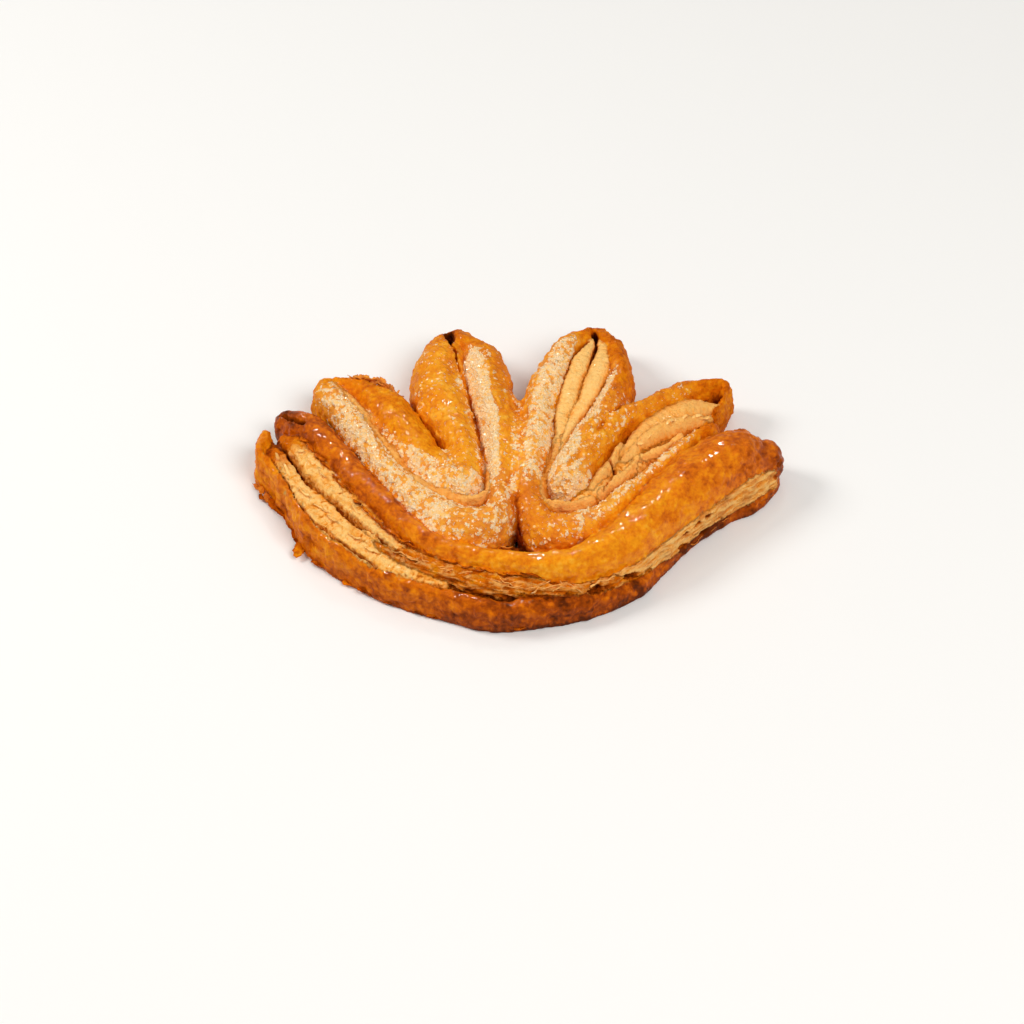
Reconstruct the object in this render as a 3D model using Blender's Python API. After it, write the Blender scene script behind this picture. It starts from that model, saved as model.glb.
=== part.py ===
"""Palmier pastry: one rolled slice of puff pastry whose leaves have opened into a fan.

The whole pastry is a single solid that lies flat on the table.  Each leaf of the fan is a
ridge of dough that stands on its edge, so the solid is built from ridges that melt together:
two lobes of two nested U-shaped ridges each, and a split band that runs round the front.

Run it with Blender 4.5: blender --background --python part.py
"""
import math

import bmesh
import bpy
from mathutils import Vector
from mathutils.geometry import interpolate_bezier

MM = 0.001

# A ridge follows its route in plan (mm, hub of the fan near the middle of the front, +Y away
# from the band).  Crest heights and half widths are spread evenly along the route.  The belly
# is the height of the widest level, as a share of the crest.
RIDGES = {
    "west_lobe_outer": {
        "route": [(-49, 30), (-42.5, 15), (-34, 0), (-24, -15), (-12, -26), (-3.8, -19),
                  (-3.2, -1), (-4.5, 17), (-8, 33), (-14, 47)],
        "crest": (12, 16, 17, 17.5, 18, 17, 13),
        "half_width": (4, 4.3, 4.5, 5.5, 6.5, 7, 5.5),
        "belly": 0.42,
    },
    "west_lobe_inner": {
        "route": [(-47, 32), (-36.5, 23), (-27.5, 8), (-21, -3.5), (-14.5, -12.5), (-12, -3),
                  (-13.5, 11), (-17.5, 24), (-20.5, 36), (-16.5, 47.5)],
        "crest": (12, 16.5, 18, 17.5, 18, 17.5, 13),
        "half_width": (4, 7.2, 7.5, 5.7, 5.5, 7.2, 5.5),
        "belly": 0.42,
    },
    "east_lobe_outer": {
        "route": [(21, 49.5), (13, 39), (8.5, 25), (6, 11), (4.2, -4), (4.7, -19.5), (12, -25),
                  (24, -20.5), (34, -10.5), (44, 1), (51, 13), (53, 20)],
        "crest": (13, 16, 17.5, 18, 17, 16, 15, 13),
        "half_width": (5, 6, 6, 6, 6.5, 5, 4.5, 3.5),
        "belly": 0.42,
    },
    "east_lobe_inner": {
        "route": [(23, 49.5), (25.5, 38), (24.5, 26), (19, 12), (14, -4), (19, -5),
                  (27.5, 9), (37.5, 21), (46.5, 27.5), (55, 30)],
        "crest": (13, 16, 17.5, 18, 18, 17, 15.5, 12),
        "half_width": (5.5, 6.5, 6.5, 6, 5, 4.5, 4, 3.5),
        "belly": 0.42,
    },
    "open_seam_north": {
        "route": [(21, 42), (17, 30), (15, 14), (10, -2)],
        "crest": (11, 13, 13, 12),
        "half_width": (3, 4, 4, 3),
        "belly": 0.42,
    },
    "open_seam_east": {
        "route": [(17, -13), (30, 0), (42, 12), (51, 22)],
        "crest": (11, 12, 12, 11),
        "half_width": (4, 6, 7, 5),
        "belly": 0.42,
    },
    "west_curl_fill": {
        "route": [(-8, -17), (-8, -8)],
        "crest": (12, 12),
        "half_width": (4, 4),
        "belly": 0.42,
    },
    "east_curl_fill": {
        "route": [(10, -18), (14, -12)],
        "crest": (11, 11),
        "half_width": (5, 4),
        "belly": 0.42,
    },
    "hub_fill": {
        "route": [(0.5, -29), (0.5, -25)],
        "crest": (8, 8),
        "half_width": (4, 3),
        "belly": 0.42,
    },
    "band_upper_leaf": {
        "route": [(-57.8, 20.5), (-50.5, 10.5), (-43, -0.5), (-35.5, -12), (-26, -22.5),
                  (-12, -31.8), (5, -34), (19, -31), (33, -20.5), (46, -6.5), (59, 5), (67, 5)],
        "crest": (13, 16, 16, 16, 16, 18, 19, 15),
        "half_width": (4.5, 5, 5.2, 6.2, 6.5, 7.2, 7.8, 7.5, 5),
        "belly": 0.42,
    },
    "band_lower_leaf": {
        "route": [(-65, 10.5), (-62, 1), (-56, -10), (-48.5, -20.5), (-39, -30), (-25, -39),
                  (-8, -44), (8, -43.5), (20, -40.5), (33, -30), (45, -17), (57, -6), (67, 0.5)],
        "crest": (12.5, 12, 11, 10, 9, 8, 6, 6, 9),
        "half_width": (3.2, 3.5, 4, 4, 4, 4, 3, 3, 3.5),
        "belly": 0.3,
    },
    "band_split": {
        "route": [(-61, 11), (-52, -1), (-43.5, -13), (-34, -24), (-22, -32), (-6, -38),
                  (10, -37.5), (24, -32.5), (37, -22), (50, -8), (60, -1)],
        "crest": (11, 11.5, 11.5, 10, 9.5, 10, 11, 11),
        "half_width": (4, 5, 5, 4, 3.5, 3, 3.5, 4),
        "belly": 0.4,
    },
}

RING_SIDES = 20         # points round a ridge's section
ROUTE_STEPS = 6         # rings between two neighbouring points of a route
NOSE_RINGS = 4          # rings that round off each end of a ridge
VOXEL = 1.1 * MM        # grain of the merged dough
SMOOTHING_PASSES = 3
KEPT_FACES = 0.1         # share of the merged dough's triangles that is kept
TRAY_SIZE = 0.3         # width of the tray that flattens the underside
CRUST_COLOUR = (0.62, 0.26, 0.045, 1.0)
CRUST_ROUGHNESS = 0.38


def clear_scene():
    for item in list(bpy.data.objects):
        bpy.data.objects.remove(item, do_unlink=True)


def crust_material():
    material = bpy.data.materials.new("golden_crust")
    material.use_nodes = True
    shader = material.node_tree.nodes["Principled BSDF"]
    shader.inputs["Base Color"].default_value = CRUST_COLOUR
    shader.inputs["Roughness"].default_value = CRUST_ROUGHNESS
    shader.inputs["Metallic"].default_value = 0.0
    return material


def smooth_route(route):
    """The route's points in metres, joined by a curve that passes through each of them."""
    points = [Vector((x, y, 0.0)) * MM for x, y in route]
    slopes = [points[1] - points[0]]
    slopes += [(after - before) / 2 for before, after in zip(points, points[2:])]
    slopes += [points[-1] - points[-2]]
    path = []
    for start, end, leave, arrive in zip(points, points[1:], slopes, slopes[1:]):
        path += interpolate_bezier(start, start + leave / 3, end - arrive / 3, end,
                                   ROUTE_STEPS + 1)[:-1]
    return path + [points[-1]]


def value_along(values, share):
    """One of the evenly spread values, read at a share of the way along."""
    place = share * (len(values) - 1)
    before = min(int(place), len(values) - 2)
    return values[before] + (values[before + 1] - values[before]) * (place - before)


def section(centre, across, half_width, crest, belly, scale=1.0):
    """The points of one oval section that stands upright across the ridge."""
    middle = belly * crest
    half_height = crest - middle
    ring = []
    for i in range(RING_SIDES):
        angle = math.tau * i / RING_SIDES
        sideways = across * (half_width * scale * math.cos(angle))
        upward = Vector((0.0, 0.0, middle + half_height * scale * math.sin(angle)))
        ring.append(centre + sideways + upward)
    return ring


def ridge_sections(ridge):
    """Sections from nose to nose of a ridge, with rings that shrink to round off both ends."""
    path = smooth_route(ridge["route"])
    last = len(path) - 1
    rings = []
    for i, centre in enumerate(path):
        along = (path[min(i + 1, last)] - path[max(i - 1, 0)]).normalized()
        across = Vector((-along.y, along.x, 0.0))
        half_width = value_along(ridge["half_width"], i / last) * MM
        crest = value_along(ridge["crest"], i / last) * MM
        nose = []
        if i in (0, last):
            outward = -along if i == 0 else along
            for k in range(1, NOSE_RINGS + 1):
                turn = math.radians(85) * k / NOSE_RINGS
                tip = centre + outward * (half_width * math.sin(turn))
                nose.append(section(tip, across, half_width, crest, ridge["belly"],
                                    math.cos(turn)))
        own = [section(centre, across, half_width, crest, ridge["belly"])]
        rings += nose[::-1] + own if i == 0 else own + nose
    return rings


def add_ridge(mesh, ridge):
    """Skin the sections of a ridge into one closed tube."""
    loops = []
    for ring in ridge_sections(ridge):
        corners = [mesh.verts.new(point) for point in ring]
        loops.append([mesh.edges.new((a, b)) for a, b in zip(corners, corners[1:] + corners[:1])])
    for before, after in zip(loops, loops[1:]):
        bmesh.ops.bridge_loops(mesh, edges=before + after)
    bmesh.ops.holes_fill(mesh, edges=loops[0] + loops[-1], sides=RING_SIDES)


def ridges_object():
    mesh = bmesh.new()
    for ridge in RIDGES.values():
        add_ridge(mesh, ridge)
    bmesh.ops.recalc_face_normals(mesh, faces=mesh.faces)
    data = bpy.data.meshes.new("pastry")
    mesh.to_mesh(data)
    mesh.free()
    pastry = bpy.data.objects.new("pastry", data)
    bpy.context.collection.objects.link(pastry)
    return pastry


def tray_cutter():
    """A block just under the table top: what reaches into it is cut off the underside."""
    bpy.ops.mesh.primitive_cube_add(size=TRAY_SIZE, location=(0.0, 0.0, -TRAY_SIZE / 2))
    tray = bpy.context.object
    tray.name = "tray_cutter"
    tray.display_type = "WIRE"
    tray.hide_render = True
    return tray


def merge_and_flatten(pastry, tray):
    """Melt the ridges into one skin, thin it out and cut the flat underside."""
    merge = pastry.modifiers.new("merge", "REMESH")
    merge.mode = "VOXEL"
    merge.voxel_size = VOXEL
    soften = pastry.modifiers.new("soften", "SMOOTH")
    soften.factor = 0.5
    soften.iterations = SMOOTHING_PASSES
    thin = pastry.modifiers.new("thin", "DECIMATE")
    thin.ratio = KEPT_FACES
    flatten = pastry.modifiers.new("flatten", "BOOLEAN")
    flatten.operation = "DIFFERENCE"
    flatten.solver = "EXACT"
    flatten.object = tray


def centre_on_origin(pastry):
    """Move the mesh so that the finished pastry's box stands centred on the origin."""
    bpy.context.view_layer.update()
    finished = pastry.evaluated_get(bpy.context.evaluated_depsgraph_get())
    corners = [Vector(corner) for corner in finished.bound_box]
    middle = Vector((
        (min(c.x for c in corners) + max(c.x for c in corners)) / 2,
        (min(c.y for c in corners) + max(c.y for c in corners)) / 2,
        0.0,
    ))
    pastry.location = -middle


def build():
    clear_scene()
    pastry = ridges_object()
    pastry.data.materials.append(crust_material())
    merge_and_flatten(pastry, tray_cutter())
    centre_on_origin(pastry)


build()
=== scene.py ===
import math

import bpy
import numpy as np
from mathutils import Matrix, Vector


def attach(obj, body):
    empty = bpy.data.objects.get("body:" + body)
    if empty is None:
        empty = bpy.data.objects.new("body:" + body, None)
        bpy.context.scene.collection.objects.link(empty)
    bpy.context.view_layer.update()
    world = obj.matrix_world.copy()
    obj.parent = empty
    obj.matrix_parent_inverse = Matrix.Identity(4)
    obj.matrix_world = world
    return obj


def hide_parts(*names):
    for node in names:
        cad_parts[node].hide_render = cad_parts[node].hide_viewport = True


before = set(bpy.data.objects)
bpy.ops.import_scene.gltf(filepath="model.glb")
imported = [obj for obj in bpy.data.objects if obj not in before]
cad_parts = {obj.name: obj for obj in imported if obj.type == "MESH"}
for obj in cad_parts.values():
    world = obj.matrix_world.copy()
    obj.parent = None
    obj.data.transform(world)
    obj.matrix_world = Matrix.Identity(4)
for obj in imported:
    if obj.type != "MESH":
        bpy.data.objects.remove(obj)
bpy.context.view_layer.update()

MM = 0.001
CELL = 0.45     # grid pitch of the sculpted dough
FACES_KEPT = 190_000              # most triangles in the dough's skin
CENTRE = np.array([1.83, 3.35])   # middle of the fan's box, in the routes' own coordinates
ROUTE_STEP = 0.5                  # about how far apart a route's points lie
FIBRES = ("fibre_x", "fibre_y", "fibre_z")
GRAIN = (0.22, 0.52)              # size of a sugar crystal, whose sides are 0.6 to 1 of it


# ---------------- noise and small helpers

def lattice_noise(points, size, seed):
    """Smooth noise, about -1 to 1, at each point (rows of 2 or 3 numbers), in lumps size wide."""
    slopes = np.random.default_rng(seed).normal(0, 1, (16, 16, 16, 3))
    slopes *= 1.7 / np.linalg.norm(slopes, axis=3)[..., None]
    spots = np.asarray(points, float) / size
    if spots.shape[1] == 2:
        spots = np.column_stack([spots, np.full(len(spots), 0.37)])
    low = np.floor(spots).astype(int)
    part = spots - low
    fade = part * part * part * (part * (part * 6 - 15) + 10)
    total = np.zeros(len(spots))
    for corner in np.ndindex(2, 2, 2):
        share = np.prod(np.where(corner, fade, 1 - fade), axis=1)
        slope = slopes[tuple(((low + corner) % 16).T)]
        total += share * np.einsum("ij,ij->i", slope, part - corner)
    return total


def cloud_noise(points, size, seed, octaves=3):
    """Sum of ever finer lattice noise, about -1 to 1."""
    total = np.zeros(len(points))
    for octave in range(octaves):
        total += lattice_noise(points, size / 2 ** octave, seed + octave) / 2 ** octave
    return total / 1.4


def ramp(x, low, high):
    """0 below low, 1 above high and smooth between."""
    t = np.clip((x - low) / (high - low), 0, 1)
    return t * t * (3 - 2 * t)


def bump(x, start, end, soft):
    """1 between start and end, fading to 0 over soft on both sides."""
    return ramp(x, start - soft, start + soft) * (1 - ramp(x, end - soft, end + soft))


def spread(values, share):
    """Values spread evenly from 0 to 1, read at each share."""
    return np.interp(share, np.linspace(0, 1, len(values)), values)


def smooth_min(a, b, blend):
    t = np.clip(0.5 + 0.5 * (b - a) / blend, 0, 1)
    return b * (1 - t) + a * t - blend * t * (1 - t)


# ---------------- the ridges of dough

class Route:
    """A curve over the tray through knots of (x, y, height, half width), all in mm."""

    def __init__(self, knots):
        curve = self.curve(np.array(knots, float) - [*CENTRE, 0, 0])
        self.points, self.height, self.half = curve[:, :2], curve[:, 2], curve[:, 3]
        steps = np.linalg.norm(np.diff(self.points, axis=0), axis=1)
        self.along = np.concatenate([[0], np.cumsum(steps)])
        self.share = self.along / self.along[-1]
        tangent = np.gradient(self.points, axis=0)
        self.tangent = tangent / np.linalg.norm(tangent, axis=1)[:, None]

    @staticmethod
    def curve(knots):
        """Catmull-Rom curve through the knots."""
        knots = np.vstack([2 * knots[0] - knots[1], knots, 2 * knots[-1] - knots[-2]])
        pieces = []
        for a, b, c, d in zip(knots, knots[1:], knots[2:], knots[3:]):
            count = max(2, int(np.linalg.norm((c - b)[:2]) / ROUTE_STEP))
            t = np.linspace(0, 1, count, endpoint=False)[:, None]
            pieces.append(0.5 * (2 * b + (c - a) * t + (2 * a - 5 * b + 4 * c - d) * t ** 2
                                 + (3 * b - 3 * c + d - a) * t ** 3))
        return np.vstack(pieces + [knots[-2:-1]])

    def measure(self, x, y):
        """For each place: its nearest point's index, and how far across (left is positive) and
        along the route it lies, in mm."""
        best = np.full(x.shape, np.inf)
        index = np.zeros(x.shape, int)
        for i, (px, py) in enumerate(self.points):
            gap = (x - px) ** 2 + (y - py) ** 2
            closer = gap < best
            best[closer] = gap[closer]
            index[closer] = i
        dx, dy = x - self.points[index, 0], y - self.points[index, 1]
        tx, ty = self.tangent[index, 0], self.tangent[index, 1]
        ahead = dx * tx + dy * ty
        aside = tx * dy - ty * dx
        at_end = ((index == 0) & (ahead < 0)) | ((index == len(self.points) - 1) & (ahead > 0))
        sign = np.where(aside < 0, -1, 1)
        across = np.where(at_end, sign * np.hypot(ahead, aside), aside)
        return index, across, self.along[index] + np.where(at_end, 0, ahead)


class Ridge(Route):
    """A leaf of dough that stands on the tray: height is its crest.

    Its widest level is at belly x crest. A larger square makes its section boxier, and blend is
    how softly it melts into the rest, in mm. brown is spread along it.
    """

    def __init__(self, knots, belly=0.42, blend=0.8, kind="crust", square=2.0, brown=(0.3,),
                 gloss=0.5):
        super().__init__(knots)
        self.belly, self.blend, self.kind, self.square = belly, blend, kind, square
        self.brown, self.gloss = brown, gloss

    def depth(self, index, across, z):
        """Rough distance to the ridge's skin, negative inside."""
        crest, half = self.height[index], self.half[index]
        middle = self.belly * crest
        tall = crest - middle
        power = self.square
        reach = (np.abs(across / half) ** power + np.abs((z - middle) / tall) ** power) ** (1 / power)
        return (reach - 1) * np.minimum(half, tall)


class Cut(Route):
    """A slot, open upwards: height is its floor. Its walls get painted shade up to a height of top."""

    def __init__(self, knots, top, hollow_shade):
        super().__init__(knots)
        self.top, self.hollow_shade = top, hollow_shade

    def depth(self, index, across, z):
        """Rough distance to the slot's wall, negative inside the slot."""
        floor, half = self.height[index], self.half[index]
        wider = half * (0.75 + 0.25 * np.clip((z - floor) / 5, 0, 2))
        return np.maximum(np.abs(across) - wider, floor - z)


STRIP = {"belly": 0.72, "square": 4, "blend": 0.3, "kind": "pale"}
RIB = {"belly": 0.8, "square": 2.6, "blend": 0.25, "kind": "rib"}
LEAF = {"blend": 0.5, "kind": "leaf"}

RIDGES = {
    # The west lobe: its outer rope turns from petal 2 round the hub into petal 3.
    "west_outer": Ridge(
        [(-50, 31, 12, 3.8), (-48.5, 25, 15.5, 4.2), (-44.5, 17.5, 16.5, 4.2),
         (-40.5, 10.5, 17, 4.2), (-36, 2, 17, 4.2), (-30.5, -6, 17, 4.5), (-22.5, -16, 17, 5.6),
         (-12, -23.8, 17.5, 7.6), (-4, -19, 17.5, 5.4), (-2.6, -8, 17.5, 4.6), (-2.9, 1, 17.5, 4.8),
         (-3.8, 11, 17.5, 5.3), (-5.2, 24, 17, 6), (-6.6, 33, 16.5, 6.6), (-8.8, 40, 15.3, 6.2),
         (-11.8, 45.5, 13.8, 5), (-14.5, 49.5, 12, 3.8)],
        brown=(0.35, 0.3, 0.3, 0.3, 0.35, 0.4, 0.3, 0.3, 0.42, 0.5), gloss=0.4),
    "west_inner": Ridge(
        [(-46.5, 31.5, 12, 3.2), (-40, 27.6, 14.2, 4.8), (-34.2, 21.2, 16.6, 7.1),
         (-30.3, 14, 17.5, 7.2), (-24.8, 4.4, 17.5, 7.2), (-20.5, -4, 17.5, 6.2),
         (-13, -10.3, 17.5, 5), (-11.2, -3, 17.5, 4.8), (-13, 6, 17.5, 5.2), (-16, 15, 17.5, 6.4),
         (-18.8, 24, 17.5, 8.1), (-19.3, 34, 17, 7.9), (-18, 43, 15, 6.3), (-16.8, 48, 12.5, 4.6)],
        brown=(0.42, 0.42, 0.4, 0.3, 0.25, 0.25, 0.25, 0.25, 0.3, 0.36)),
    # The east lobe: petal 4 round the hub into petal 5.
    "east_outer": Ridge(
        [(20.8, 49.8, 13, 3.6), (17, 45.2, 15.5, 4), (12.6, 37.6, 16.8, 4.9), (9.2, 28, 17.3, 5.6),
         (6.8, 17, 17.5, 5.3), (5.6, 6, 17.5, 5), (5, -4, 17, 4.4), (4.8, -13, 17, 4.6),
         (7.5, -20.6, 16.5, 5.8), (13, -23.8, 16.5, 6.8), (22.5, -20.5, 16.5, 5.6),
         (30.5, -11.5, 16.2, 4), (37, -4.8, 16, 3), (42.5, 1.8, 15.6, 2.9), (48, 9.2, 15, 2.8),
         (53, 14.5, 13, 2.4)],
        brown=(0.5, 0.32, 0.28, 0.28, 0.32, 0.46, 0.38, 0.24, 0.22, 0.28, 0.5)),
    "east_inner": Ridge(
        [(24.2, 50, 12.5, 3.4), (27.6, 43.5, 15.5, 3.7), (28.7, 35.5, 17, 4.1), (28, 27, 17.3, 4.3),
         (24.8, 18, 17.5, 4.6), (20, 9, 17.5, 4.8), (15.5, -1, 17.5, 4.8), (13.3, -7, 17, 5),
         (17.2, -5.8, 17, 4.2), (21.8, 3.8, 17, 3.7), (27.2, 13, 17, 3.6), (34, 18, 16.6, 3.7),
         (40, 22.8, 15.8, 3.5), (47, 27.2, 14.6, 3.3), (53, 29.8, 13.2, 2.6), (57, 29.7, 12.5, 2),
         (56, 25, 11, 1.3), (53.8, 19.5, 11.5, 1.2)],
        brown=(0.46, 0.5, 0.46, 0.36, 0.25, 0.25, 0.25, 0.28, 0.32, 0.44, 0.5), gloss=0.35),
    # The outer band, split along its side: a fat upper leaf and a thin lower wall.
    "band_upper": Ridge(
        [(-59.5, 19, 12, 3.7), (-55, 15.5, 14.5, 4.6), (-49.2, 8.2, 16, 4.9), (-42.8, -2.2, 16, 4.9),
         (-35.2, -12.4, 15.7, 4.8), (-28, -21.4, 15.5, 4.4), (-20.6, -28, 15.3, 3.9),
         (-12, -32.4, 15.3, 3.8), (3, -35.5, 15.5, 4.3), (17, -34.6, 16.2, 5.3),
         (28, -27.5, 17.2, 6.4), (37, -18, 18, 7.6), (46, -7.5, 18.7, 8.6), (55.5, 1.6, 19, 8.7),
         (60.5, 4.2, 18, 7.9), (64.2, 5, 16, 6.6), (66.6, 5.4, 13.6, 5.2)],
        belly=0.5,
        brown=(0.72, 0.64, 0.62, 0.58, 0.43, 0.32, 0.28, 0.34, 0.44, 0.54, 0.7), gloss=1.0),
    "band_lower": Ridge(
        [(-64.9, 13.3, 10.5, 2.1), (-65.9, 9.5, 11.7, 1.8), (-66, 5, 12, 1.7), (-61.8, -1.4, 12, 1.6),
         (-58.2, -7.9, 11.8, 1.6), (-55.5, -13.6, 11.5, 1.6), (-52.5, -19.8, 11, 1.6),
         (-48.1, -25, 10.8, 1.6), (-43, -29.7, 10.3, 1.7), (-37.1, -33.8, 9.8, 1.9),
         (-30.8, -37.5, 9.5, 2.1), (-22, -41, 9.2, 2.3), (-12, -44.2, 8.8, 2.6),
         (-3, -45.9, 8.6, 2.7), (8, -44.8, 8, 2.8), (20, -41.2, 7, 2.7), (31, -35, 5.5, 2.8),
         (41.5, -21.6, 4.2, 3), (51, -11.2, 3.4, 3), (61.5, -4.2, 3.4, 3.2), (68.4, 3, 4.5, 2.4)],
        belly=0.3, square=2.8,
        brown=(0.4, 0.34, 0.38, 0.46, 0.56, 0.68, 0.72, 0.68, 0.64, 0.62, 0.6), gloss=0.6),
    "east_pad": Ridge([(20, 7, 16.3, 4.6), (15.2, -4, 17, 5)], blend=2.5, brown=(0.24,)),
    "west_pad": Ridge([(-17.5, -1, 16.3, 5.5), (-14.5, -7, 17, 5)], blend=2.5, brown=(0.26,)),
    "north_fill": Ridge([(0.8, 23.5, 12, 2.6), (0.9, 10, 15, 3.2), (1.2, -3, 15.8, 3),
                         (1.5, -12, 14.5, 2)], blend=2.5, brown=(0.34, 0.26, 0.26)),
    # A dark brown filler at the bottom of the hub: painted shade in the hole.
    "hub_fill": Ridge([(-3, -28, 9, 5), (7, -28, 9, 5)], brown=(0.85,)),
    "band_bed": Ridge(
        [(-61.5, 9.5, 9.6, 3.2), (-55, -3, 9, 5), (-46, -15, 7.5, 6), (-35, -26, 7, 5),
         (-20, -35, 6.5, 4), (0, -40, 6, 4), (20, -37, 6, 4), (40, -20, 6, 5), (60, 0, 6, 5)],
        brown=(0.85,)),
    "west_seam": Ridge(
        [(-48.7, 31, 10.5, 1.7), (-44.3, 24.7, 13.3, 2), (-40.1, 17.3, 14.6, 2.1),
         (-36, 9.9, 15, 2.1), (-30.6, 0.7, 15.2, 2.1), (-26.1, -6.5, 15.3, 2.1),
         (-18.7, -12.6, 15.4, 2.2), (-10.8, -15.6, 15.3, 2), (-6, -11.9, 15, 1.6),
         (-6.3, -5, 14.5, 1.4)], kind="seam", brown=(0.35,)),
    "east_seam": Ridge(
        [(15.6, 22, 11.5, 2.4), (14.6, 16, 12.4, 2.6), (12.9, 10, 13.4, 2.4),
         (11.4, 4, 14.2, 2.1), (9.7, -4, 14.6, 1.8), (8, -11, 14.6, 1.6), (9.5, -15.2, 14.8, 1.6),
         (15, -15.5, 14.6, 1.6), (21, -12.5, 13, 1.8)], kind="seam", brown=(0.35,)),
    "north_seam": Ridge([(22.5, 45, 11.5, 2.5), (20.8, 37, 13.2, 3.8), (18.5, 28, 13.6, 4),
                         (15, 20, 13.6, 3)], blend=0.4, kind="seam", brown=(0.5,)),
    # Torn, pale insides that the splits show.
    "strip_outer": Ridge(
        [(-63.8, 10.5, 8.5, 1.6), (-62.5, 6.2, 10.6, 2.4), (-60.2, 1.6, 11.3, 2.9),
         (-56.2, -6.6, 11.6, 3.6), (-51.6, -13, 11.7, 4.5), (-47, -18.8, 11.5, 4.9),
         (-42.2, -24.4, 11.2, 4.6), (-37.2, -29.2, 10.8, 4.1), (-31.5, -33, 10.3, 3.6),
         (-24, -36.4, 9.8, 2.7), (-17, -38.6, 9, 1.8)],
        **STRIP),
    "strip_inner": Ridge(
        [(-60.2, 12.5, 9, 1.6), (-58.2, 9.6, 11.6, 2.5), (-54.9, 4.3, 12.9, 3.1),
         (-50.6, -2.6, 13.3, 3.1), (-44.7, -10.6, 13.3, 3), (-41, -15.6, 13.1, 3),
         (-37.5, -20.3, 12.8, 2.8), (-32.8, -25.6, 12.2, 2.4), (-27, -30, 10.8, 1.6)],
        **STRIP),
    "torn_bed": Ridge(
        [(-34, -28, 11, 2.8), (-27, -31.2, 11.6, 3.4), (-18, -35, 11.6, 3.8),
         (-8, -38.3, 11.4, 3.7), (5, -40.2, 10.8, 3.3), (14, -40.2, 9.8, 2.9), (24, -37.2, 8.8, 2.7),
         (34, -29.6, 7.6, 2.6)], belly=0.5, square=2.6, blend=0.3, kind="torn"),
    "face_right": Ridge(
        [(14, -38.5, 8, 2.2), (22, -36.6, 8.5, 2.6), (30.9, -31.2, 9.3, 3.1), (40.7, -21.4, 10.3, 3.4),
         (50.1, -11.7, 10.5, 3.5), (60.7, -2.4, 10.5, 3.5), (67.3, 1.8, 9.2, 2.5)],
        belly=0.5, square=3.6, blend=0.3, kind="face"),
    "rib_west": Ridge(
        [(22, 47.3, 12, 1.3), (20.5, 43, 14, 2.3), (19.2, 39.5, 14.8, 2.7), (18, 35.4, 15.1, 2.9),
         (16.4, 30.3, 15, 3), (15, 24.7, 14.7, 2.8), (13.6, 18, 14.3, 2.2), (12.3, 11, 13.9, 1.5),
         (11.2, 4, 13.2, 1)],
        **RIB),
    "rib_east": Ridge(
        [(24, 47, 12, 1.3), (24.7, 42, 14.2, 2), (24.2, 37, 15.1, 2.7), (23, 31.7, 15.4, 3),
         (21.4, 27, 15.2, 2.9), (19.6, 22.5, 14.9, 2.6), (16.8, 16.5, 14.5, 1.9),
         (14.4, 10, 14.1, 1.3), (12.4, 3, 13.4, 0.9)],
        **RIB),
    "east_bed": Ridge(
        [(16, -13.5, 12.5, 2), (22, -9, 12.5, 4.5), (29.5, 0.5, 12.2, 7.5), (40, 10, 11.5, 8),
         (49, 19.5, 10.5, 6)], blend=0.5, kind="pale"),
    "leaf_a": Ridge([(53, 22.5, 11.5, 2.6), (46, 20.4, 13, 3.7), (39.5, 15.6, 13.4, 3.8),
                     (33.6, 9.8, 13.2, 2.8), (29.4, 4, 12.6, 1.8)],
                    belly=0.7, square=3, **LEAF),
    "leaf_b": Ridge([(52.4, 16.4, 12.6, 1.5), (46, 14.8, 14.4, 2.3), (40, 11.9, 14.7, 2.4),
                     (34, 7.3, 14, 1.9), (29.6, 1.4, 13.2, 1.3)],
                    belly=0.7, **LEAF),
    "leaf_c": Ridge([(45, 10.2, 12.5, 1.4), (39, 6, 13.3, 2.4), (33.5, 2.5, 12.8, 2)],
                    **LEAF),
    "leaf_d": Ridge([(28.4, 6.4, 13, 1.2), (26.4, 1.6, 13.7, 1.9), (24.4, -3.4, 13.9, 2.1),
                     (20.8, -9, 13, 1.7)], **LEAF),
    "leaf_e": Ridge([(33, 2.4, 13, 1.2), (30.6, -2.4, 13.8, 2), (27.4, -6.4, 13.6, 1.8),
                     (23.4, -10.6, 12.8, 1.4)], **LEAF),
}

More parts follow.
